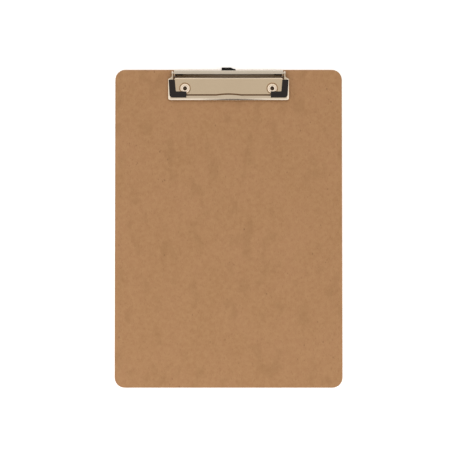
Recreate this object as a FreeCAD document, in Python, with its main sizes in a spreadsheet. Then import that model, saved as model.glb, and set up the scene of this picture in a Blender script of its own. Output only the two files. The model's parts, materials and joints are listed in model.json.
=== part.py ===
import FreeCAD, Part
import math
import os

import Sketcher

# A hardboard clipboard with a low-profile spring clip. The clip has a pressed
# base plate, riveted through the board by two hollow eyelets, and a U-shaped
# jaw frame that turns on a pin in the base plate's rear channel. Two torsion
# springs press the jaw's rubber corner grips on to the board, and a flat tab
# with a hole slides out of the channel to hang the board on a hook.
#
# Frame: origin at the centre of the board's back face, +Z out of the board's
# front, +Y towards the clip, +X to the right. Millimetres.

Vector = FreeCAD.Vector

SIZES = {
    # board
    "board_width": 225.0,
    "board_length": 315.0,
    "board_thickness": 3.0,
    "board_corner": 10.0,
    "board_arris": 0.4,
    # base plate, heights above the board's front face
    "plate_width": 108.2,
    "plate_depth": 24.2,
    "plate_setback": 0.4,
    "plate_sheet": 0.8,
    "wall_inset": 0.1,
    "tray_height": 2.2,
    "channel_height": 6.2,
    "strip_depth": 4.5,
    "strip_crown": 0.25,
    "riser_run": 4.1,
    "rear_bend_radius": 0.9,
    "foot_bend_radius": 2.2,
    "notch_width": 3.0,
    "notch_run": 3.3,
    "window_width": 9.0,
    "window_run": 1.4,
    "window_rear": 0.2,
    "tab_gate_width": 14.5,
    "tab_gate_depth": 1.2,
    "thumb_bow_width": 24.0,
    "thumb_bow": 0.9,
    # hollow-ended rivets, with a dish in the base plate round each
    "eyelet_spacing": 86.6,
    "eyelet_setback": 18.3,
    "eyelet_bore": 3.3,
    "eyelet_barrel": 4.0,
    "eyelet_flange": 10.0,
    "eyelet_dome": 1.35,
    "eyelet_outer_bow": 0.42,
    "eyelet_inner_bow": 0.38,
    "eyelet_mouth": 0.2,
    "eyelet_floor": 0.9,
    "rivet_hole": 4.2,
    "dish_bottom": 10.3,
    "dish_top": 11.5,
    "rivet_head": 7.4,
    "rivet_head_lift": 0.1,
    "rivet_head_thickness": 0.75,
    "rivet_head_edge": 0.35,
    "head_recess": 9.0,
    "head_recess_depth": 0.9,
    # hinge
    "hinge_setback": 3.2,
    "hinge_height": 3.0,
    "pin_width": 2.0,
    "pin_head": 2.8,
    "pin_head_thickness": 0.4,
    "pin_head_gap": 0.1,
    "ear_clearance": 0.05,
    "end_wall_radius": 2.8,
    "end_foot_run": 2.0,
    # jaw frame
    "jaw_width": 121.2,
    "jaw_reach": 6.9,
    "jaw_length": 22.2,
    "jaw_sheet": 0.9,
    "jaw_top": 3.8,
    "jaw_lift": 0.3,
    "jaw_roll": 3.0,
    "jaw_corner": 3.2,
    "jaw_shoulder": 2.0,
    "bar_depth": 5.2,
    "ear_gap": 1.0,
    "ear_sheet": 1.1,
    "ear_radius": 1.75,
    "ear_drop": 1.2,
    "ear_setback": 1.0,
    "gusset": 2.2,
    "ear_root": 13.0,
    "hook_radius": 3.5,
    "hook_hole": 1.2,
    # rubber corner grips
    "grip_inset": 2.2,
    "grip_slant": 1.0,
    "grip_front": 3.4,
    "grip_leg_width": 6.1,
    "grip_leg_length": 16.6,
    "grip_rear_setback": 1.0,
    "grip_top": 4.5,
    "grip_overlap_height": 2.5,
    "grip_side_gap": 0.5,
    "grip_lift": 0.1,
    "grip_outer_corner": 3.0,
    "grip_inner_corner": 1.0,
    "grip_edge": 0.45,
    # torsion springs
    "spring_wire": 0.9,
    "spring_arm": 0.86,
    "spring_coil": 4.2,
    "spring_start": 44.0,
    "spring_end": 52.3,
    "spring_leg": 4.4,
    "spring_hook": 4.6,
    # sliding hanging tab
    "tab_width": 13.9,
    "tab_thickness": 1.2,
    "tab_lift": 0.05,
    "tab_head_width": 24.0,
    "tab_head_length": 4.0,
    "tab_shoulder": 16.2,
    "tab_hole": 6.0,
    "tab_hole_setback": 5.6,
    "tab_grip_height": 4.2,
    "tab_grip_front": 1.1,
    "tab_grip_rear": 2.1,
    "tab_grip_low_rear": 0.6,
    "tab_grip_rise": 0.15,
    "tab_grip_split": 2.2,
    "tab_grip_slope": 3.0,
    # how far a cutting outline runs past what it cuts
    "overrun": 1.0,
}

# Places worked out from the sheet, as expressions in millimetres.
FACE = "Size.board_thickness"
REAR = "(Size.board_length / 2 - Size.plate_setback)"
FRONT = f"({REAR} - Size.plate_depth)"
HEAD = f"({REAR} - Size.strip_depth)"
FOOT = f"({HEAD} - Size.riser_run)"
TRAY_TOP = "(Size.board_thickness + Size.tray_height)"
STRIP_TOP = "(Size.board_thickness + Size.channel_height)"
PLATE_SIDE = "(Size.plate_width / 2)"
EYELET_X = "(Size.eyelet_spacing / 2)"
EYELET_Y = f"({REAR} - Size.eyelet_setback)"
HINGE_Y = f"({REAR} - Size.hinge_setback)"
HINGE_Z = "(Size.board_thickness + Size.hinge_height)"
JAW_SIDE = "(Size.jaw_width / 2)"
JAW_FRONT = f"({FRONT} - Size.jaw_reach)"
JAW_REAR = f"({JAW_FRONT} + Size.jaw_length)"
JAW_TOP = "(Size.board_thickness + Size.jaw_top)"
BAR_REAR = f"({JAW_FRONT} + Size.bar_depth)"
EAR_INNER = f"({PLATE_SIDE} + Size.ear_gap)"
GRIP_SIDE = f"({JAW_SIDE} - Size.grip_inset)"
GRIP_FRONT = f"({JAW_FRONT} + Size.grip_front)"
GRIP_REAR = f"({JAW_REAR} - Size.grip_rear_setback)"
GRIP_TOP = "(Size.board_thickness + Size.grip_top)"
TAB_BOTTOM = "(Size.board_thickness + Size.tab_lift)"

# How far a quarter circle bows from its chord, for a radius of 1.
ROUNDING = "(1 - 1 / sqrt(2))"

doc = FreeCAD.newDocument("Clipboard")


def write_sheet():
    """Put every driving dimension in a named cell."""
    sheet = doc.addObject("Spreadsheet::Sheet", "Size")
    for row, (name, value) in enumerate(SIZES.items(), start=1):
        sheet.set(f"A{row}", name)
        sheet.set(f"B{row}", str(value))
        sheet.setAlias(f"B{row}", name)
    doc.recompute()
    return sheet


size = write_sheet()


def value(expression):
    """Work out an expression, as a plain number."""
    return float(size.evalExpression(expression.replace("Size.", "")))


def plane(body, role):
    """Find one of the body's own origin planes."""
    return next(part for part in body.Origin.OriginFeatures if part.Role == role)


def new_body(label):
    body = doc.addObject("PartDesign::Body", label)
    body.Label = label
    return body


def new_sketch(body, name, role, offset="0"):
    """Start a sketch on an origin plane, moved along the plane's normal."""
    sketch = body.newObject("Sketcher::SketchObject", name)
    sketch.AttachmentSupport = [(plane(body, role), "")]
    sketch.MapMode = "FlatFace"
    sketch.setExpression("AttachmentOffset.Base.z", offset)
    return sketch


def bind(sketch, constraint, expression):
    """Add a constraint whose size follows an expression."""
    index = sketch.addConstraint(constraint)
    name = f"size{index}"
    sketch.renameConstraint(index, name)
    sketch.setExpression(f"Constraints.{name}", expression)


def place_point(sketch, curve, end, place):
    """Tie a curve's end point to a place, given as two expressions."""
    for kind, expression in zip(("DistanceX", "DistanceY"), place):
        rule = Sketcher.Constraint(kind, -1, 1, curve, end, value(expression))
        bind(sketch, rule, expression)


def nearest_end(sketch, curve, point):
    """Say which end of a curve, 1 or 2, lies at a point."""
    gaps = [sketch.getPoint(curve, end).distanceToPoint(point) for end in (1, 2)]
    return 1 + gaps.index(min(gaps))


def outline(sketch, corners):
    """Draw a closed outline.

    Each corner is two expressions. A third entry bows the edge that starts
    there, by that much to the left of its direction.
    """
    points = [Vector(value(corner[0]), value(corner[1]), 0) for corner in corners]
    curves = []
    for number, corner in enumerate(corners):
        start = points[number]
        end = points[(number + 1) % len(points)]
        curve = Part.LineSegment(start, end)
        if len(corner) == 3:
            run = end - start
            across = Vector(-run.y, run.x, 0).normalize()
            middle = (start + end) / 2 + across * value(corner[2])
            curve = Part.Arc(start, middle, end)
        curves.append(sketch.addGeometry(curve))
    for number, corner in enumerate(corners):
        start = points[number]
        end = points[(number + 1) % len(points)]
        this = curves[number]
        after = curves[(number + 1) % len(curves)]
        meets = (this, nearest_end(sketch, this, end), after, nearest_end(sketch, after, end))
        sketch.addConstraint(Sketcher.Constraint("Coincident", *meets))
        place_point(sketch, this, nearest_end(sketch, this, start), corner[:2])
        if len(corner) == 3:
            following = corners[(number + 1) % len(corners)]
            chord = f"(({following[0]} - ({corner[0]})) ^ 2 + ({following[1]} - ({corner[1]})) ^ 2)"
            radius = f"({chord} / 4 + ({corner[2]}) ^ 2) / (2 * abs({corner[2]}))"
            bind(sketch, Sketcher.Constraint("Radius", this, value(radius)), radius)
    return sketch


def circle(sketch, place, radius):
    """Draw a circle at a place, with a radius, all given as expressions."""
    centre = Vector(value(place[0]), value(place[1]), 0)
    curve = sketch.addGeometry(Part.Circle(centre, Vector(0, 0, 1), value(radius)))
    place_point(sketch, curve, 3, place)
    bind(sketch, Sketcher.Constraint("Radius", curve, value(radius)), radius)
    return sketch


def axis_line(sketch, start, end):
    """Draw a construction line, which is the sketch's Axis0."""
    points = [Vector(value(place[0]), value(place[1]), 0) for place in (start, end)]
    curve = sketch.addGeometry(Part.LineSegment(*points), True)
    place_point(sketch, curve, 1, start)
    place_point(sketch, curve, 2, end)
    return sketch


def box_corners(left, front, right, rear):
    """Give the four corners of an upright rectangle."""
    return [(left, front), (right, front), (right, rear), (left, rear)]


def pad(body, name, sketch, length, side="One side", reverse=False):
    feature = body.newObject("PartDesign::Pad", name)
    feature.Profile = sketch
    feature.SideType = side
    feature.Reversed = reverse
    feature.setExpression("Length", length)
    doc.recompute()
    return feature


def cut(body, name, sketch, length, side="Symmetric", reverse=False):
    """Pocket a sketch, and make sure that it takes material away."""
    before = body.Shape.Volume
    feature = body.newObject("PartDesign::Pocket", name)
    feature.Profile = sketch
    feature.SideType = side
    feature.Reversed = reverse
    feature.setExpression("Length", length)
    doc.recompute()
    if body.Shape.Volume >= before:
        raise ValueError(f"{name} cuts nothing")
    return feature


def revolve(body, name, sketch):
    """Turn a sketch round its Axis0."""
    feature = body.newObject("PartDesign::Revolution", name)
    feature.Profile = sketch
    feature.ReferenceAxis = (sketch, ["Axis0"])
    feature.Angle = 360
    doc.recompute()
    return feature


def mirror(body, name, originals):
    """Repeat features on the other side of the body's middle plane."""
    feature = body.newObject("PartDesign::Mirrored", name)
    feature.Originals = originals
    feature.MirrorPlane = (plane(body, "YZ_Plane"), [""])
    body.Tip = feature
    doc.recompute()
    return feature


def edges_near(shape, places):
    """Name the edges that pass closest to some places."""
    names = []
    for place in places:
        point = Part.Vertex(Vector(*[value(text) for text in place]))
        gaps = [edge.distToShape(point)[0] for edge in shape.Edges]
        names.append(f"Edge{1 + gaps.index(min(gaps))}")
    return sorted(set(names))


def dress(body, kind, name, places, radius):
    """Round or chamfer the edges of the body that pass through some places."""
    base = body.Tip
    feature = body.newObject(f"PartDesign::{kind}", name)
    feature.Base = (base, edges_near(base.Shape, places))
    feature.setExpression("Radius" if kind == "Fillet" else "Size", radius)
    doc.recompute()
    return feature


def both_sides(expression):
    """Give an expression and its negative."""
    return (expression, f"-{expression}")


def make_board():
    """Hardboard sheet with round corners, drilled for the eyelets."""
    body = new_body("board")
    half_width = "Size.board_width / 2"
    half_length = "Size.board_length / 2"
    sheet = new_sketch(body, "board_outline", "XY_Plane")
    outline(sheet, box_corners(f"-{half_width}", f"-{half_length}", half_width, half_length))
    pad(body, "board_sheet", sheet, FACE)
    corners = [(x, y, f"{FACE} / 2") for x in both_sides(half_width) for y in both_sides(half_length)]
    dress(body, "Fillet", "board_corners", corners, "Size.board_corner")
    rims = [("0", half_length, "0"), ("0", half_length, FACE)]
    dress(body, "Fillet", "board_arrises", rims, "Size.board_arris")
    for name, width, depth in (
        ("rivet_holes", "Size.rivet_hole", FACE),
        ("head_recesses", "Size.head_recess", "Size.head_recess_depth"),
    ):
        sketch = new_sketch(body, f"{name}_outline", "XY_Plane")
        for x in both_sides(EYELET_X):
            circle(sketch, (x, EYELET_Y), f"{width} / 2")
        cut(body, name, sketch, depth, side="One side", reverse=True)
    return body


def plate_section(body):
    """Side view of the base plate: flange, tray, riser, top strip, rear wall."""
    sheet = "Size.plate_sheet"
    rise = "(Size.channel_height - Size.tray_height)"
    mitre = f"{sheet} * tan(atan({rise} / Size.riser_run) / 2)"
    sketch = new_sketch(body, "plate_section", "YZ_Plane")
    return outline(
        sketch,
        [
            (FRONT, FACE),
            (f"{FRONT} + {sheet}", FACE),
            (f"{FRONT} + {sheet}", f"{TRAY_TOP} - {sheet}"),
            (f"{FOOT} + {mitre}", f"{TRAY_TOP} - {sheet}"),
            (f"{HEAD} + {mitre}", f"{STRIP_TOP} - {sheet}", "Size.strip_crown"),
            (f"{REAR} - {sheet}", f"{STRIP_TOP} - {sheet}"),
            (f"{REAR} - {sheet}", FACE),
            (REAR, FACE),
            (REAR, STRIP_TOP, "-Size.strip_crown"),
            (HEAD, STRIP_TOP),
            (FOOT, TRAY_TOP),
            (FRONT, TRAY_TOP),
        ],
    )


def plate_walls(body):
    """Side flanges of the tray and the end walls that hold the pin."""
    sheet = "Size.plate_sheet"
    inset = "Size.wall_inset"
    inner = f"{PLATE_SIDE} - {sheet}"
    walls = [
        ("side_flange", box_corners(FRONT, FACE, f"{FOOT} + {sheet} / 2", f"{TRAY_TOP} - {inset}")),
        ("end_wall", box_corners(HINGE_Y, FACE, f"{REAR} - {inset}", f"{STRIP_TOP} - {sheet}")),
        ("end_foot", box_corners(f"{HINGE_Y} - Size.end_foot_run", FACE, HINGE_Y, HINGE_Z)),
    ]
    made = []
    for name, corners in walls:
        sketch = outline(new_sketch(body, f"{name}_outline", "YZ_Plane", inner), corners)
        made.append(pad(body, name, sketch, sheet))
    ring = new_sketch(body, "end_ring_outline", "YZ_Plane", inner)
    circle(ring, (HINGE_Y, HINGE_Z), "Size.end_wall_radius")
    made.append(pad(body, "end_ring", ring, sheet))
    mirror(body, "other_walls", made)


def plate_dishes(body):
    """Dished seats, pressed down to the board, for the eyelet flanges."""
    sheet = "Size.plate_sheet"
    slope = "((Size.dish_top - Size.dish_bottom) / 2)"
    drop = f"(Size.tray_height - {sheet})"
    mitre = f"{sheet} * tan(atan({drop} / {slope}) / 2)"
    top = f"{EYELET_X} + Size.dish_top / 2"
    bottom = f"{EYELET_X} + Size.dish_bottom / 2"
    clear = f"(Size.dish_top / 2 + {sheet})"
    hollow = new_sketch(body, "dish_clearance_outline", "XY_Plane", FACE)
    circle(hollow, (EYELET_X, EYELET_Y), clear)
    clearance = cut(body, "dish_clearance", hollow, "2 * Size.channel_height")
    sketch = new_sketch(body, "dish_section", "XZ_Plane", f"-{EYELET_Y}")
    outline(
        sketch,
        [
            (f"{EYELET_X} + Size.rivet_hole / 2", FACE),
            (f"{bottom} + {mitre}", FACE),
            (f"{top} + {mitre}", f"{TRAY_TOP} - {sheet}"),
            (f"{EYELET_X} + {clear}", f"{TRAY_TOP} - {sheet}"),
            (f"{EYELET_X} + {clear}", TRAY_TOP),
            (top, TRAY_TOP),
            (bottom, f"{FACE} + {sheet}"),
            (f"{EYELET_X} + Size.rivet_hole / 2", f"{FACE} + {sheet}"),
        ],
    )
    axis_line(sketch, (EYELET_X, FACE), (EYELET_X, TRAY_TOP))
    dish = revolve(body, "dish", sketch)
    mirror(body, "other_dish", [clearance, dish])
    edge = new_sketch(body, "front_trim_outline", "XY_Plane", FACE)
    side = "Size.plate_width"
    outline(edge, box_corners(f"-{side}", f"{FRONT} - Size.dish_top", side, FRONT))
    cut(body, "front_trim", edge, "2 * Size.channel_height")


def plate_openings(body):
    """Windows for the spring hooks, the gate for the tab and the pin holes."""
    depth = "2 * (Size.channel_height - Size.tray_height + Size.plate_sheet)"
    rear = f"{HEAD} - Size.window_rear"
    outside = f"{PLATE_SIDE} + Size.overrun"
    for name, width, run in (
        ("hook_notches", "Size.notch_width", "Size.notch_run"),
        ("windows", "Size.window_width", "Size.window_run"),
    ):
        sketch = new_sketch(body, f"{name}_outline", "XY_Plane", STRIP_TOP)
        for left, right in (
            (f"{PLATE_SIDE} - {width}", outside),
            (f"-({outside})", f"-{PLATE_SIDE} + {width}"),
        ):
            outline(sketch, box_corners(left, f"{HEAD} - {run}", right, rear))
        cut(body, name, sketch, depth)
    gate = new_sketch(body, "tab_gate_outline", "XY_Plane", FACE)
    half = "Size.tab_gate_width / 2"
    outline(gate, box_corners(f"-{half}", f"{REAR} - Size.tab_gate_depth", half, f"{REAR} + Size.overrun"))
    cut(body, "tab_gate", gate, "3 * Size.channel_height")
    holes = new_sketch(body, "pin_holes_outline", "YZ_Plane")
    circle(holes, (HINGE_Y, HINGE_Z), "Size.pin_width / 2")
    cut(body, "pin_holes", holes, "2 * Size.plate_width")


def plate_thumb_bow(body):
    """Bow the front flange back in the middle, where a thumb reaches the bar."""
    half = "(Size.thumb_bow_width / 2)"
    bow = "Size.thumb_bow"
    sheet = "Size.plate_sheet"
    before = f"{FRONT} - Size.overrun"
    scoop = new_sketch(body, "scoop_outline", "XY_Plane", FACE)
    outline(scoop, [(f"-{half}", before), (half, before), (half, FRONT, f"-{bow}"), (f"-{half}", FRONT)])
    cut(body, "scoop", scoop, "3 * Size.channel_height")
    flange = new_sketch(body, "bowed_flange_outline", "XY_Plane", FACE)
    outline(
        flange,
        [
            (f"-{half}", FRONT, bow),
            (half, FRONT),
            (half, f"{FRONT} + {sheet}", f"-{bow}"),
            (f"-{half}", f"{FRONT} + {sheet}"),
        ],
    )
    pad(body, "bowed_flange", flange, f"Size.tray_height - {sheet} / 2")


def make_base_plate():
    """Pressed nickel-plated sheet that everything else in the clip hangs on."""
    body = new_body("base_plate")
    pad(body, "plate_sheet", plate_section(body), "Size.plate_width", side="Symmetric")
    dress(body, "Fillet", "rear_bend", [("0", REAR, STRIP_TOP)], "Size.rear_bend_radius")
    dress(body, "Fillet", "foot_bend", [("0", FOOT, TRAY_TOP)], "Size.foot_bend_radius")
    plate_walls(body)
    plate_thumb_bow(body)
    plate_dishes(body)
    plate_openings(body)
    return body


def make_eyelet(label, side):
    """Rivet with a solid head behind the board and a hollow end rolled over in front."""
    body = new_body(label)
    middle = f"{side} * {EYELET_X}"
    seat = f"({FACE} + Size.plate_sheet)"
    bore = "Size.eyelet_bore / 2"
    barrel = "Size.eyelet_barrel / 2"
    flange = "Size.eyelet_flange / 2"
    head = "Size.rivet_head / 2"
    base = "Size.rivet_head_lift"
    edge = "Size.rivet_head_edge"
    crown = f"({bore} + {flange}) / 2"
    sketch = new_sketch(body, f"{label}_section", "XZ_Plane", f"-{EYELET_Y}")
    outline(
        sketch,
        [
            (middle, base),
            (f"{middle} + {head} - {edge}", base, f"-{edge} * {ROUNDING}"),
            (f"{middle} + {head}", f"{base} + {edge}"),
            (f"{middle} + {head}", f"{base} + Size.rivet_head_thickness"),
            (f"{middle} + {barrel}", f"{base} + Size.rivet_head_thickness"),
            (f"{middle} + {barrel}", seat),
            (f"{middle} + {flange}", seat, "-Size.eyelet_outer_bow"),
            (f"{middle} + {crown}", f"{seat} + Size.eyelet_dome", "-Size.eyelet_inner_bow"),
            (f"{middle} + {bore}", f"{seat} + Size.eyelet_mouth"),
            (f"{middle} + {bore}", "Size.eyelet_floor"),
            (middle, "Size.eyelet_floor"),
        ],
    )
    axis_line(sketch, (middle, "0"), (middle, seat))
    revolve(body, f"{label}_body", sketch)
    return body


def make_hinge_pin():
    """Steel pin across the channel, peened over outside the jaw's ears."""
    body = new_body("hinge_pin")
    inner = f"({EAR_INNER} + Size.ear_sheet + Size.pin_head_gap)"
    outer = f"({inner} + Size.pin_head_thickness)"
    shaft = f"{HINGE_Y} + Size.pin_width / 2"
    head = f"{HINGE_Y} + Size.pin_head / 2"
    crown = f"{HINGE_Y} + Size.pin_head / 4"
    sketch = new_sketch(body, "pin_section", "XY_Plane", HINGE_Z)
    outline(
        sketch,
        [
            (f"-{outer}", HINGE_Y),
            (outer, HINGE_Y),
            (outer, crown),
            (f"{inner} + Size.pin_head_thickness / 3", head),
            (inner, head),
            (inner, shaft),
            (f"-{inner}", shaft),
            (f"-{inner}", head),
            (f"-{inner} - Size.pin_head_thickness / 3", head),
            (f"-{outer}", crown),
        ],
    )
    axis_line(sketch, (f"-{outer}", HINGE_Y), (outer, HINGE_Y))
    revolve(body, "pin_body", sketch)
    return body


def make_jaw_frame():
    """U-shaped frame: front bar with a rolled lip, side arms and hinge ears.

    The block is made too long at the rear, hollowed, and its arms cut to length.
    """
    body = new_body("jaw_frame")
    lowest = f"({FACE} + Size.jaw_lift)"
    height = "(Size.jaw_top - Size.jaw_lift)"
    bow_half = "(Size.thumb_bow_width / 2)"
    spare = f"({JAW_REAR} + 5 * Size.overrun)"
    past = f"({spare} + Size.overrun)"
    within = f"({EAR_INNER} - Size.overrun)"
    shell = new_sketch(body, "frame_outline", "XY_Plane", lowest)
    outline(
        shell,
        [
            (f"-{JAW_SIDE}", JAW_FRONT),
            (JAW_SIDE, JAW_FRONT),
            (JAW_SIDE, spare),
            (EAR_INNER, spare),
            (EAR_INNER, BAR_REAR),
            (bow_half, BAR_REAR, "-Size.thumb_bow"),
            (f"-{bow_half}", BAR_REAR),
            (f"-{EAR_INNER}", BAR_REAR),
            (f"-{EAR_INNER}", spare),
            (f"-{JAW_SIDE}", spare),
        ],
    )
    pad(body, "frame_block", shell, height)
    front = [(x, JAW_FRONT, FACE) for x in both_sides(JAW_SIDE)]
    dress(body, "Fillet", "front_corners", front, "Size.jaw_corner")
    dress(body, "Fillet", "rolled_edge", [("0", JAW_FRONT, JAW_TOP)], "Size.jaw_roll")
    sheet = "Size.jaw_sheet"
    side = f"({JAW_SIDE} - {sheet})"
    inside = f"(Size.jaw_corner - {sheet})"
    hollow = new_sketch(body, "hollow_outline", "XY_Plane", lowest)
    outline(
        hollow,
        [
            (f"-{side} + {inside}", f"{JAW_FRONT} + {sheet}"),
            (f"{side} - {inside}", f"{JAW_FRONT} + {sheet}", f"-{inside} * {ROUNDING}"),
            (side, f"{JAW_FRONT} + {sheet} + {inside}"),
            (side, past),
            (within, past),
            (within, f"{BAR_REAR} + 2 * Size.overrun"),
            (f"-{within}", f"{BAR_REAR} + 2 * Size.overrun"),
            (f"-{within}", past),
            (f"-{side}", past),
            (f"-{side}", f"{JAW_FRONT} + {sheet} + {inside}", f"-{inside} * {ROUNDING}"),
        ],
    )
    cut(body, "hollow", hollow, f"{height} - {sheet}", side="One side", reverse=True)
    ceiling = [("0", f"{JAW_FRONT} + {sheet}", f"{JAW_TOP} - {sheet}")]
    dress(body, "Fillet", "inner_roll", ceiling, f"Size.jaw_roll - {sheet}")
    shoulder = "Size.jaw_shoulder"
    ends = new_sketch(body, "arm_ends_outline", "XY_Plane", lowest)
    outline(
        ends,
        [
            (within, f"{JAW_REAR} + Size.gusset"),
            (f"{EAR_INNER} + Size.ear_sheet", f"{JAW_REAR} + Size.gusset"),
            (f"{JAW_SIDE} - {shoulder}", JAW_REAR, f"{shoulder} * {ROUNDING}"),
            (JAW_SIDE, f"{JAW_REAR} - {shoulder}"),
            (f"{JAW_SIDE} + Size.overrun", f"{JAW_REAR} - {shoulder}"),
            (f"{JAW_SIDE} + Size.overrun", past),
            (within, past),
        ],
    )
    arm_end = cut(body, "arm_end", ends, f"3 * {height}")
    mirror(body, "other_arm_end", [arm_end])
    ear = new_sketch(body, "ear_outline", "YZ_Plane", EAR_INNER)
    outline(
        ear,
        [
            (f"{HINGE_Y} - Size.ear_root", f"{HINGE_Z} - Size.ear_drop"),
            (HINGE_Y, f"{HINGE_Z} - Size.ear_radius"),
            (HINGE_Y, f"{HINGE_Z} + Size.ear_radius"),
            (f"{JAW_REAR} - Size.ear_setback", JAW_TOP),
            (f"{HINGE_Y} - Size.ear_root", JAW_TOP),
        ],
    )
    ear_plate = pad(body, "ear_plate", ear, "Size.ear_sheet")
    knuckle = new_sketch(body, "ear_end_outline", "YZ_Plane", EAR_INNER)
    circle(knuckle, (HINGE_Y, HINGE_Z), "Size.ear_radius")
    ear_end = pad(body, "ear_end", knuckle, "Size.ear_sheet")
    mirror(body, "other_ear", [ear_plate, ear_end])
    bores = new_sketch(body, "ear_holes_outline", "YZ_Plane")
    circle(bores, (HINGE_Y, HINGE_Z), "Size.pin_width / 2 + Size.ear_clearance")
    circle(bores, (f"{HINGE_Y} - Size.hook_radius", HINGE_Z), "Size.hook_hole / 2")
    cut(body, "ear_holes", bores, "2 * Size.jaw_width")
    return body


def grip_corners(side, inner_x, inner_y, end_x):
    """L-shaped outline, seen from above: its side leg slants out to the rear."""
    return [
        (f"{side} * {GRIP_SIDE}", GRIP_FRONT),
        (f"{side} * ({GRIP_SIDE} + Size.grip_slant)", GRIP_REAR),
        (f"{side} * ({inner_x} + Size.grip_slant)", GRIP_REAR),
        (f"{side} * {inner_x}", inner_y),
        (f"{side} * {end_x}", inner_y),
        (f"{side} * {end_x}", GRIP_FRONT),
    ]


def make_rubber_grip(label, side, jaw_frame):
    """Moulded rubber corner that wraps the jaw's edge and presses the paper."""
    body = new_body(f"{label}_blank")
    over = f"({GRIP_SIDE} - Size.grip_leg_width)"
    end = f"({GRIP_SIDE} - Size.grip_leg_length)"
    rear = f"({GRIP_FRONT} + Size.grip_leg_width)"
    beside = f"({PLATE_SIDE} + Size.grip_side_gap)"
    before = f"({FRONT} - Size.grip_side_gap)"
    step = "Size.grip_overlap_height"
    upper = new_sketch(body, f"{label}_cap_outline", "XY_Plane", f"{FACE} + {step}")
    outline(upper, grip_corners(side, over, rear, end))
    pad(body, f"{label}_cap", upper, f"Size.grip_top - {step}")
    lower = new_sketch(body, f"{label}_pad_outline", "XY_Plane", f"{FACE} + Size.grip_lift")
    outline(lower, grip_corners(side, beside, before, end))
    pad(body, f"{label}_pad", lower, f"{step} - Size.grip_lift")
    low = f"{FACE} + (Size.grip_lift + {step}) / 2"
    high = f"{FACE} + (Size.grip_top + {step}) / 2"
    corner = [(f"{side} * {GRIP_SIDE}", GRIP_FRONT, height) for height in (low, high)]
    dress(body, "Fillet", f"{label}_outer_corner", corner, "Size.grip_outer_corner")
    inside = [(f"{side} * {over}", rear, high)]
    dress(body, "Fillet", f"{label}_inner_corner", inside, "Size.grip_inner_corner")
    rim = [(f"{side} * ({over} + Size.grip_slant / 2)", f"({rear} + {GRIP_REAR}) / 2", GRIP_TOP)]
    dress(body, "Fillet", f"{label}_rim", rim, "Size.grip_edge")
    grip = doc.addObject("Part::Cut", label)
    grip.Label = label
    grip.Base = body
    grip.Tool = jaw_frame
    return grip


def rod(length, base, direction):
    """Give a straight run of spring wire, a little thinner than the coil's wall."""
    return Part.makeCylinder(value("Size.spring_arm / 2"), length, base, direction)


def make_torsion_spring(label, side):
    """Close-wound coil, as a tube, with a hooked arm and a leg on the riser."""
    wire = value("Size.spring_wire")
    outer = value("Size.spring_coil") / 2
    mean = outer - wire / 2
    start = value("Size.spring_start")
    end = value("Size.spring_end")
    hook = value("Size.hook_radius")
    centre = Vector(0, value(HINGE_Y), value(HINGE_Z))
    outward = Vector(side, 0, 0)
    rise = value("Size.channel_height - Size.tray_height")
    slope = math.atan2(rise, value("Size.riser_run"))
    axis_start = centre + outward * start
    coil = Part.makeCylinder(outer, end - start, axis_start, outward)
    coil = coil.cut(Part.makeCylinder(outer - wire, end - start, axis_start, outward))
    bend = centre + outward * (end - wire / 2) - Vector(0, hook, 0)
    arm_angle = math.acos(mean / hook)
    arm_heading = Vector(0, math.sin(arm_angle), -math.cos(arm_angle))
    arm = rod(math.sqrt(hook**2 - mean**2), bend, arm_heading)
    elbow = Part.makeSphere(value("Size.spring_arm / 2"), bend)
    hook_bar = rod(value("Size.spring_hook"), bend, outward)
    off_coil = Vector(0, -math.sin(slope), math.cos(slope)) * mean
    leg_base = centre + outward * (start + wire / 2) + off_coil
    leg = rod(value("Size.spring_leg"), leg_base, Vector(0, -math.cos(slope), -math.sin(slope)))
    spring = doc.addObject("Part::Feature", label)
    spring.Shape = coil.fuse([arm, elbow, hook_bar, leg])
    spring.Label = label
    spring.Placement = FreeCAD.Placement()
    return spring


def make_hanging_tab():
    """Black plastic T-shaped tab with a hanging hole and a finger grip."""
    body = new_body("hanging_tab")
    inner_wall = f"({REAR} - Size.plate_sheet)"
    shoulder = f"({inner_wall} - Size.tab_shoulder)"
    grip_front = f"({REAR} - Size.tab_grip_front)"
    shank = "(Size.tab_width / 2)"
    head = "(Size.tab_head_width / 2)"
    strip = new_sketch(body, "tab_outline", "XY_Plane", TAB_BOTTOM)
    outline(
        strip,
        [
            (f"-{head}", f"{shoulder} - Size.tab_head_length"),
            (head, f"{shoulder} - Size.tab_head_length"),
            (head, shoulder),
            (shank, shoulder),
            (shank, REAR),
            (f"-{shank}", REAR),
            (f"-{shank}", shoulder),
            (f"-{head}", shoulder),
        ],
    )
    pad(body, "tab_strip", strip, "Size.tab_thickness")
    finger = new_sketch(body, "finger_grip_outline", "XY_Plane", TAB_BOTTOM)
    split = "Size.tab_grip_split"
    outline(
        finger,
        [
            (f"-{shank}", grip_front),
            (shank, grip_front),
            (shank, f"{REAR} + Size.tab_grip_low_rear"),
            (f"{split} + Size.tab_grip_slope", f"{REAR} + Size.tab_grip_low_rear + Size.tab_grip_rise"),
            (split, f"{REAR} + Size.tab_grip_rear"),
            (f"-{shank}", f"{REAR} + Size.tab_grip_rear"),
        ],
    )
    pad(body, "finger_grip", finger, "Size.tab_grip_height")
    hole = new_sketch(body, "hang_hole_outline", "XY_Plane", TAB_BOTTOM)
    circle(hole, ("0", f"{REAR} - Size.tab_hole_setback"), "Size.tab_hole / 2")
    cut(body, "hang_hole", hole, "4 * Size.tab_thickness")
    return body


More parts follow.
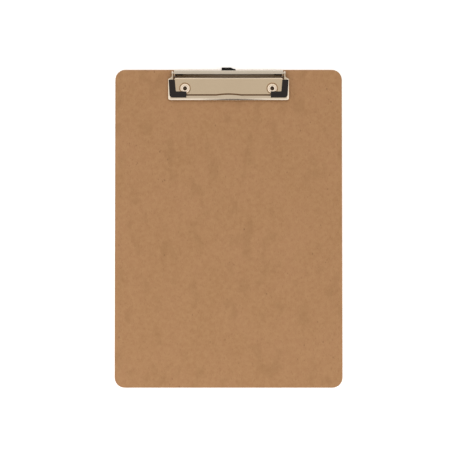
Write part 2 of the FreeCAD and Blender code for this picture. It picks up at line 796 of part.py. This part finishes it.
def check_and_write(parts):
    """Stop on any failed feature or bad shape, then write one file per part."""
    for item in doc.Objects:
        if "Invalid" in item.State or "Error" in item.State:
            raise ValueError(f"{item.Label} failed: {item.State}")
    for part in parts:
        if part.Shape.isNull() or not part.Shape.isValid() or len(part.Shape.Solids) != 1:
            raise ValueError(f"{part.Label} has a bad shape: {len(part.Shape.Solids)} solids")
    os.makedirs("parts", exist_ok=True)
    for part in parts:
        part.Shape.exportStep(f"parts/{part.Label}.step")
        box = part.Shape.BoundBox
        print(f"{part.Label}: {part.Shape.Volume:.1f} mm3, z {box.ZMin:.2f} to {box.ZMax:.2f}")


def make_clipboard():
    jaw_frame = make_jaw_frame()
    parts = [make_board(), make_base_plate(), make_hinge_pin(), jaw_frame, make_hanging_tab()]
    for word, side in (("left", -1), ("right", 1)):
        parts.append(make_eyelet(f"eyelet_{word}", side))
        parts.append(make_rubber_grip(f"rubber_grip_{word}", side, jaw_frame))
        parts.append(make_torsion_spring(f"torsion_spring_{word}", side))
    doc.recompute()
    check_and_write(parts)


make_clipboard()
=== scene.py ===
import json
import math

import bpy
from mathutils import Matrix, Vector


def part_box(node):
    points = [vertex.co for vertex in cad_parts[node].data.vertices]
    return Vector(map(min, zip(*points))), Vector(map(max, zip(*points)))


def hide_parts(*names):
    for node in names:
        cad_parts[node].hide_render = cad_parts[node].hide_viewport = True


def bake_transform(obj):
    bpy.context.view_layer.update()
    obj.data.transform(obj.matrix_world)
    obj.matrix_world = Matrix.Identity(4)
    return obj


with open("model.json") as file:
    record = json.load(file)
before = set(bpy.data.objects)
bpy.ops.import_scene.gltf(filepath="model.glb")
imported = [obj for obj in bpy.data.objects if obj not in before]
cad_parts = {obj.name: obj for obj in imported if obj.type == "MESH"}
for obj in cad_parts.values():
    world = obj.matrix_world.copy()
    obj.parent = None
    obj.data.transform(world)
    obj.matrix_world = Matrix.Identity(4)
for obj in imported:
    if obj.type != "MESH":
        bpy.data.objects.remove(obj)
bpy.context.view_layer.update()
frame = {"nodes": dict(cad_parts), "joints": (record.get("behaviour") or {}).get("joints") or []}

MM = 0.001
UP = Vector((0, 0, 1))


# ---------------------------------------------------------------- materials


class Nodes:
    """A node tree, with short calls for the nodes that it needs."""

    def __init__(self, tree):
        self.tree = tree
        self.coordinates = self.node("TexCoord")

    def feed(self, socket, source):
        """Set a socket to a number or colour, or link it to another socket."""
        if isinstance(source, bpy.types.NodeSocket):
            self.tree.links.new(source, socket)
        else:
            socket.default_value = source

    def node(self, kind, settings=None, **inputs):
        """Add a node, with its settings and what feeds its named sockets."""
        made = self.tree.nodes.new(f"ShaderNode{kind}")
        for key, setting in (settings or {}).items():
            setattr(made, key, setting)
        for key, source in inputs.items():
            self.feed(made.inputs[key.replace("_", " ")], source)
        return made

    def ramp(self, factor, low, high, start=0.0, end=1.0, smooth=False):
        """Remap a factor from one span to another, held at the ends."""
        settings = {"interpolation_type": "SMOOTHSTEP" if smooth else "LINEAR"}
        inputs = {"Value": factor, "From_Min": low, "From_Max": high, "To_Min": start, "To_Max": end}
        return self.node("MapRange", settings, **inputs).outputs["Result"]

    def math(self, operation, *inputs):
        """Work out one number from others, such as their product."""
        made = self.node("Math", {"operation": operation})
        for socket, source in zip(made.inputs, inputs):
            self.feed(socket, source)
        return made.outputs["Value"]

    def mix(self, factor, first, second):
        """Mix two colours."""
        made = self.node("Mix", {"data_type": "RGBA"})
        colours = [socket for socket in made.inputs if socket.type == "RGBA"]
        self.feed(made.inputs["Factor"], factor)
        for socket, source in zip(colours, (first, second)):
            self.feed(socket, source)
        return next(socket for socket in made.outputs if socket.type == "RGBA")


class Material(Nodes):
    """A material for the object, patterned by where a point lies on it."""

    def __init__(self, name):
        self.data = bpy.data.materials.new(name)
        self.data.use_nodes = True
        super().__init__(self.data.node_tree)
        self.shader = self.tree.nodes["Principled BSDF"]
        self.place = self.coordinates.outputs["Object"]
        self.facing = self.node("NewGeometry").outputs["True Normal"]

    def axis(self, vector, letter):
        """Give one part of a vector."""
        return self.node("SeparateXYZ", Vector=vector).outputs[letter]

    def stretched(self, scale):
        """Give the surface's place, stretched along each axis."""
        return self.node("Mapping", Vector=self.place, Scale=scale).outputs["Vector"]

    def noise(self, scale, detail=4.0, roughness=0.55, place=None):
        """Give a cloudy pattern: scale is clouds per metre, detail the finer layers in them."""
        inputs = {"Vector": place or self.place, "Scale": scale, "Detail": detail, "Roughness": roughness}
        return self.node("TexNoise", **inputs).outputs["Fac"]

    def cells(self, scale, place=None):
        """Give the distance to the nearest of many scattered points."""
        return self.node("TexVoronoi", Vector=place or self.place, Scale=scale).outputs["Distance"]

    def bump(self, height, strength, distance, under=None):
        """Raise a pattern of heights on the surface, or on another bump under it."""
        inputs = {"Height": height, "Strength": strength, "Distance": distance}
        if under is not None:
            inputs["Normal"] = under
        return self.node("Bump", **inputs).outputs["Normal"]

    def set(self, **inputs):
        """Feed the surface shader's own sockets."""
        for key, source in inputs.items():
            self.feed(self.shader.inputs[key.replace("_", " ")], source)


def colour(red, green, blue):
    """Turn an 8-bit display colour into a linear one."""
    parts = [part / 255 for part in (red, green, blue)]
    linear = [part / 12.92 if part <= 0.04045 else ((part + 0.055) / 1.055) ** 2.4 for part in parts]
    return (*linear, 1.0)


def fibre_face(made, mottle, fibre):
    """Give the smooth face's colour: clouds, stains, pale and dark fibres, rare specks."""
    cloud = made.noise(22.0, 5.0, 0.6)
    stain = made.noise(75.0, 4.0, 0.55, made.stretched((1.0, 0.6, 1.0)))
    cross = made.noise(1500.0, 4.0, 0.7, made.stretched((0.35, 1.0, 1.0)))
    body = made.mix(made.ramp(cloud, 0.35, 0.65), colour(152, 113, 76), colour(156, 116, 81))
    body = made.mix(made.ramp(mottle, 0.35, 0.65, 0.0, 0.6), body, colour(166, 129, 91))
    body = made.mix(made.ramp(stain, 0.54, 0.66, 0.0, 0.35), body, colour(139, 103, 67))
    body = made.mix(made.ramp(fibre, 0.54, 0.72, 0.0, 0.55), body, colour(128, 92, 58))
    body = made.mix(made.ramp(cross, 0.6, 0.76, 0.0, 0.4), body, colour(184, 147, 109))
    speck = made.cells(260.0, made.stretched((1.0, 0.6, 1.0)))
    rare = made.ramp(made.noise(95.0, 2.0), 0.60, 0.66)
    dark = made.math("MULTIPLY", made.ramp(speck, 0.22, 0.08), rare)
    return made.mix(made.math("MULTIPLY", dark, 0.5), body, colour(96, 62, 38))


def screen_weave(made):
    """Give the pattern that the press's wire screen leaves on the back."""
    inputs = {"Vector": made.place, "Scale": 190.0, "Distortion": 0.6, "Detail": 2.0}
    waves = [made.node("TexWave", {"bands_direction": axis}, **inputs).outputs["Fac"] for axis in "XY"]
    return made.math("MULTIPLY", *waves)


def hardboard():
    """Pressed wood fibre: smooth face, rough sawn edges, screened back."""
    made = Material("hardboard")
    mottle = made.noise(240.0, 6.0, 0.65)
    fibre = made.noise(900.0, 5.0, 0.7, made.stretched((1.0, 0.42, 1.0)))
    body = fibre_face(made, mottle, fibre)
    upward = made.axis(made.facing, "Z")
    side = made.ramp(made.math("ABSOLUTE", upward), 0.75, 0.35)
    sawn = made.noise(1400.0, 4.0, 0.75, made.stretched((0.35, 0.35, 2.4)))
    edge = made.mix(made.ramp(sawn, 0.35, 0.65), colour(104, 68, 42), colour(150, 106, 70))
    body = made.mix(made.math("MULTIPLY", side, 0.8), body, edge)
    back = made.ramp(upward, -0.3, -0.7)
    screen = screen_weave(made)
    screened = made.math("MULTIPLY", back, made.ramp(screen, 0.1, 0.7, 0.0, 0.45))
    body = made.mix(screened, body, colour(112, 76, 48))
    grain = made.math("ADD", made.math("MULTIPLY", fibre, 0.6), made.math("MULTIPLY", mottle, 0.4))
    rough_side = made.math("MULTIPLY", made.math("MULTIPLY", sawn, side), 5.0)
    pattern = made.math("MULTIPLY", made.math("MULTIPLY", screen, back), 6.0)
    height = made.math("ADD", made.math("ADD", grain, rough_side), pattern)
    rough = made.ramp(made.math("ADD", mottle, side), 0.3, 1.4, 0.52, 0.86)
    made.set(Base_Color=body, Roughness=rough, Normal=made.bump(height, 0.35, 0.06 * MM))
    made.set(Specular_IOR_Level=0.32)
    return made.data


HAIRLINES = (0.05, 1.0, 1.0)
# How far the painted light and shade blend across the split height.
SPLIT_FADE = 0.5 * MM


def nickel(name, tint, roughness, smudge, painted_split=None):
    """Nickel plate with handling marks and hairlines.

    The last argument, if given, is a height and a tint: what stands above that height takes the tint.
    This paints light and shade by height: a painted highlight on the plate's raised strip, and painted
    shade below the eyelet's dome.
    """
    made = Material(name)
    smear = made.noise(55.0, 5.0, 0.62)
    hairs = made.noise(2600.0, 3.0, 0.6, made.stretched(HAIRLINES))
    pits = made.noise(2200.0, 2.0, 0.5)
    body = tint
    # Painted light and shade by height: above the given height the colour turns to the upper tint.
    if painted_split:
        height, upper_tint = painted_split
        above = made.ramp(made.axis(made.place, "Z"), height - SPLIT_FADE, height)
        body = made.mix(above, tint, upper_tint)
    body = made.mix(made.ramp(smear, 0.35, 0.7, 0.0, 0.2), body, colour(200, 184, 162))
    body = made.mix(made.ramp(pits, 0.7, 0.8, 0.0, 0.35), body, colour(120, 108, 92))
    rough = made.ramp(smear, 0.3, 0.75, roughness, roughness + smudge)
    rough = made.math("ADD", rough, made.ramp(hairs, 0.4, 0.7, 0.0, 0.02))
    normal = made.bump(hairs, 0.12, 0.004 * MM)
    normal = made.bump(made.noise(60.0, 2.0, 0.4), 0.12, 0.02 * MM, normal)
    made.set(Base_Color=body, Metallic=1.0, Roughness=rough, Normal=normal)
    return made.data


def spring_steel():
    """Oil-tempered wire, dark, with drawing lines."""
    made = Material("spring_steel")
    lines = made.noise(1800.0, 3.0, 0.6, made.stretched((3.0, 1.0, 1.0)))
    body = made.mix(made.ramp(lines, 0.35, 0.7), colour(96, 92, 88), colour(142, 136, 128))
    rough = made.ramp(lines, 0.3, 0.8, 0.28, 0.45)
    made.set(Base_Color=body, Metallic=1.0, Roughness=rough, Normal=made.bump(lines, 0.15, 0.01 * MM))
    return made.data


def rubber():
    """Moulded rubber: fine pebble, slightly polished where it is handled."""
    made = Material("grip_rubber")
    pebble = made.cells(3200.0)
    dust = made.noise(420.0, 5.0, 0.65)
    body = made.mix(made.ramp(dust, 0.4, 0.75, 0.0, 0.7), colour(26, 21, 20), colour(40, 35, 32))
    rough = made.ramp(dust, 0.3, 0.7, 0.55, 0.78)
    made.set(Base_Color=body, Roughness=rough, Normal=made.bump(pebble, 0.3, 0.02 * MM))
    made.set(Specular_IOR_Level=0.25)
    return made.data


def tab_plastic():
    """Black moulded plastic with a spark-eroded texture and rubbed ridges."""
    made = Material("tab_plastic")
    spark = made.noise(2600.0, 4.0, 0.7)
    rub = made.noise(240.0, 4.0, 0.6)
    body = made.mix(made.ramp(rub, 0.45, 0.75, 0.0, 0.6), colour(8, 7, 7), colour(24, 22, 21))
    rough = made.ramp(rub, 0.3, 0.7, 0.42, 0.6)
    made.set(Base_Color=body, Roughness=rough, Normal=made.bump(spark, 0.25, 0.02 * MM))
    made.set(Specular_IOR_Level=0.2)
    return made.data


def floor_paper():
    """Plain pale floor."""
    made = Material("floor_paper")
    body = made.mix(made.ramp(made.noise(9.0), 0.3, 0.7), (0.93, 0.93, 0.93, 1.0), (0.96, 0.96, 0.96, 1.0))
    made.set(Base_Color=body, Roughness=0.9, Specular_IOR_Level=0.1)
    made.set(Emission_Color=(1.0, 1.0, 1.0, 1.0), Emission_Strength=0.35)
    return made.data


def dress_node(name, material):
    """Give a CAD node its finish."""
    node = frame["nodes"][name]
    node.data.materials.clear()
    node.data.materials.append(material)


# ------------------------------------------------------------------- pieces


# The springs: the radii of wire and coil, the hook that goes through a hole in
# the jaw's ear, and the leg that lies along the slope of the plate's riser.
TUBE_SIDES = 14
WIRE = 0.45 * MM
COIL_MEAN = 1.65 * MM
COIL_TURNS = 7
COIL_LENGTH = 8.3 * MM
HOOK_RADIUS = 3.5 * MM
HOOK_OUT = 4.3 * MM
HOOK_BEND = 0.6 * MM
LEG = 4.2 * MM
RISER_RISE = 4.0 * MM
RISER_RUN = 4.1 * MM
TURN_STEPS = 28
BEND_STEPS = 6


def tube(name, path, radius):
    """Make a closed round tube along a path of points that sets off sideways."""
    vertices = []
    faces = []
    previous = UP.cross(path[1] - path[0])
    for index, point in enumerate(path):
        ahead = path[min(index + 1, len(path) - 1)] - path[max(index - 1, 0)]
        ahead.normalize()
        across = (previous - ahead * previous.dot(ahead)).normalized()
        other = ahead.cross(across)
        for side in range(TUBE_SIDES):
            turn = 2 * math.pi * side / TUBE_SIDES
            vertices.append(point + (across * math.cos(turn) + other * math.sin(turn)) * radius)
        previous = across
    for ring in range(len(path) - 1):
        base = ring * TUBE_SIDES
        for side in range(TUBE_SIDES):
            after = (side + 1) % TUBE_SIDES
            near = (base + side, base + after)
            far = (base + TUBE_SIDES + after, base + TUBE_SIDES + side)
            faces.append(near + far)
    faces.append(tuple(reversed(range(TUBE_SIDES))))
    faces.append(tuple(range((len(path) - 1) * TUBE_SIDES, len(path) * TUBE_SIDES)))
    mesh = bpy.data.meshes.new(name)
    mesh.from_pydata(vertices, [], faces)
    mesh.update()
    for face in mesh.polygons:
        face.use_smooth = len(face.vertices) == 4
    piece = bpy.data.objects.new(name, mesh)
    bpy.context.scene.collection.objects.link(piece)
    return piece


def hinge_joint():
    """Give the jaw's hinge, as the frame tells it."""
    return next(joint for joint in frame["joints"] if joint["name"] == "jaw_hinge")


def spring_path(side, inner, outer):
    """Leg on the riser, close-wound coil, arm and hook, as one wire."""
    centre = Vector(hinge_joint()["pos_m"])
    hook_angle = math.pi + math.acos(COIL_MEAN / HOOK_RADIUS)
    leg_angle = math.pi / 2 + math.atan2(RISER_RISE, RISER_RUN)
    sweep = leg_angle - hook_angle + 2 * math.pi * (COIL_TURNS + 1)
    pitch = (outer - inner - 2 * WIRE) / sweep

    def rim(angle):
        across = outer - WIRE - pitch * (angle - hook_angle)
        return centre + Vector((side * across, COIL_MEAN * math.cos(angle), COIL_MEAN * math.sin(angle)))

    def heading(angle):
        along = -side * pitch
        return Vector((along, -COIL_MEAN * math.sin(angle), COIL_MEAN * math.cos(angle))).normalized()

    steps = int(TURN_STEPS * sweep / (2 * math.pi))
    coil = [rim(hook_angle + sweep * step / steps) for step in range(steps + 1)]
    reach = math.sqrt(HOOK_RADIUS**2 - COIL_MEAN**2)
    bend = coil[0] - heading(hook_angle) * reach
    towards = (coil[0] - bend).normalized()
    outward = Vector((side, 0, 0))
    start = bend + outward * HOOK_BEND
    finish = bend + towards * HOOK_BEND
    turns = [step / BEND_STEPS for step in range(BEND_STEPS + 1)]
    corner = [start.lerp(bend, turn).lerp(bend.lerp(finish, turn), turn) for turn in turns]
    tail = coil[-1] + heading(hook_angle + sweep) * LEG
    return [bend + outward * HOOK_OUT] + corner + coil + [tail]


def make_springs(material):
    """Wound springs that twist between the board and the jaw as it opens."""
    for word, side in (("left", -1), ("right", 1)):
        node = f"torsion_spring_{word}"
        low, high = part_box(node)
        near = min(abs(low[0]), abs(high[0]))
        far = near + COIL_LENGTH
        spring = tube(f"spring_wire_{word}", spring_path(side, near, far), WIRE)
        spring.data.materials.append(material)
        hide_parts(node)
        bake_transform(spring)


# ---------------------------------------------------------- floor and light


# The room's colours, and where each meets the next: heights and sideways
# places are those of a direction of length 1.
ROOM_STRENGTH = 0.8
ROOM_HORIZON = (0.080, 0.050, 0.020, 1.0)
ROOM_PALE = (1.44, 1.38, 1.31, 1.0)
ROOM_OVERHEAD = (0.86, 0.785, 0.675, 1.0)
PALE_FROM = (0.27, 0.36)
SIDES_FROM = (0.50, 0.75)
OVERHEAD_FROM = (0.90, 0.99)
DARK_GAP = (0.24, 0.21, 0.19, 1.0)
GAP_SLANT = 0.005
GAP_EDGE = (0.006, 0.035)
GAP_TOP = 0.93

FLOOR_SIZE = 8.0
FLOOR_DROP = 0.05 * MM

# Each softbox has a name, a place, a size and a power.
SOFTBOXES = (
    ("left_softbox", (-1.3, -0.7, 1.0), (1.2, 1.4), 1.4),
    ("right_softbox", (1.4, -0.7, 1.1), (1.2, 1.6), 0.6),
    ("front_softbox", (-0.25, -0.8, 0.55), (1.0, 0.5), 3.2),
)


def make_floor(material):
    """Lay a floor just below the object."""
    bpy.ops.mesh.primitive_plane_add(size=FLOOR_SIZE, location=(0, 0, -FLOOR_DROP))
    floor = bpy.context.object
    floor.name = "floor"
    floor.data.materials.append(material)


def area_light(name, place, size, power):
    """A softbox that faces the origin. It lights the object but isn't mirrored in it."""
    data = bpy.data.lights.new(name, "AREA")
    data.shape = "RECTANGLE"
    data.size, data.size_y = size
    data.energy = power
    light = bpy.data.objects.new(name, data)
    light.location = place
    light.rotation_euler = Vector(place).to_track_quat("Z", "Y").to_euler()
    light.visible_glossy = False
    bpy.context.scene.collection.objects.link(light)


def make_world():
    """Soft room, for the bright metal to mirror.

    It is warm overhead, pale lower down and at both sides, and dark brown near
    the horizon in front and behind. A narrow dark gap in front of the board
    gives the clip's rolled lip its darker middle.
    """
    world = bpy.data.worlds.new("room")
    world.use_nodes = True
    room = Nodes(world.node_tree)
    split = room.node("SeparateXYZ", Vector=room.coordinates.outputs["Generated"])
    across, along, height = (split.outputs[letter] for letter in "XYZ")
    tint = room.mix(room.ramp(height, *PALE_FROM), ROOM_HORIZON, ROOM_PALE)
    tint = room.mix(room.ramp(room.math("ABSOLUTE", across), *SIDES_FROM), tint, ROOM_PALE)
    tint = room.mix(room.ramp(height, *OVERHEAD_FROM), tint, ROOM_OVERHEAD)
    slant = room.math("ADD", room.math("DIVIDE", across, along), GAP_SLANT)
    beside = room.ramp(room.math("ABSOLUTE", slant), *GAP_EDGE, smooth=True)
    behind = room.math("GREATER_THAN", along, 0.0)
    above = room.math("GREATER_THAN", height, GAP_TOP)
    clear = room.math("MAXIMUM", room.math("MAXIMUM", beside, behind), above)
    tint = room.mix(clear, DARK_GAP, tint)
    shade = room.tree.nodes["Background"]
    room.feed(shade.inputs["Color"], tint)
    room.feed(shade.inputs["Strength"], ROOM_STRENGTH)
    bpy.context.scene.world = world


def make_lights():
    """Put a softbox on the left, on the right and in front."""
    for name, place, size, power in SOFTBOXES:
        area_light(name, place, size, power)


CAMERA_DISTANCE = 1.4
CAMERA_TILT = math.radians(1.6)
VIEW_WIDTH = 0.4555
SENSOR_WIDTH = 36.0
AIM_OFFSET = Vector((1.4, -1.7, 0.0)) * MM


def make_camera():
    """Look straight down at the board, from a little towards its bottom edge."""
    low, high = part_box("board")
    middle = Vector(((low[0] + high[0]) / 2, (low[1] + high[1]) / 2, high[2]))
    data = bpy.data.cameras.new("camera")
    data.sensor_width = SENSOR_WIDTH
    data.lens = SENSOR_WIDTH * CAMERA_DISTANCE / VIEW_WIDTH
    camera = bpy.data.objects.new("camera", data)
    back = Vector((0, -math.sin(CAMERA_TILT), math.cos(CAMERA_TILT)))
    camera.location = middle + AIM_OFFSET + back * CAMERA_DISTANCE
    camera.rotation_euler = (CAMERA_TILT, 0.0, 0.0)
    bpy.context.scene.collection.objects.link(camera)
    bpy.context.scene.camera = camera


STRIP_EDGE = 0.8 * MM
DOME_HEIGHT = 0.9 * MM


def build():
    make_camera()
    # Painted highlight: the plate's raised strip is painted a paler tint, standing in for the brighter
    # reflection on its top.
    strip_painted_highlight = (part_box("base_plate")[1][2] - STRIP_EDGE, colour(229, 223, 215))
    plate_tint = colour(226, 210, 188)
    plate = nickel("nickel_plate", plate_tint, roughness=0.10, smudge=0.06, painted_split=strip_painted_highlight)
    jaw = nickel("nickel_jaw", colour(234, 222, 206), roughness=0.03, smudge=0.03)
    # Painted shade: below its dome the eyelet is painted dark brown, standing in for the shade in its
    # bore; the dome keeps a nickel tint.
    eyelet_shade_split = (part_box("eyelet_left")[1][2] - DOME_HEIGHT, colour(238, 224, 208))
    bore_painted_shade = colour(58, 42, 30)
    eyelet = nickel("nickel_eyelet", bore_painted_shade, roughness=0.12, smudge=0.1, painted_split=eyelet_shade_split)
    pin = nickel("steel_pin", colour(190, 184, 176), roughness=0.3, smudge=0.1)
    grip = rubber()
    finishes = {
        "board": hardboard(),
        "base_plate": plate,
        "jaw_frame": jaw,
        "eyelet_left": eyelet,
        "eyelet_right": eyelet,
        "hinge_pin": pin,
        "rubber_grip_left": grip,
        "rubber_grip_right": grip,
        "hanging_tab": tab_plastic(),
    }
    for node, material in finishes.items():
        dress_node(node, material)
    make_springs(spring_steel())
    make_floor(floor_paper())
    make_world()
    make_lights()
    settings = bpy.context.scene.view_settings
    settings.view_transform = "Standard"
    settings.look = "None"


build()
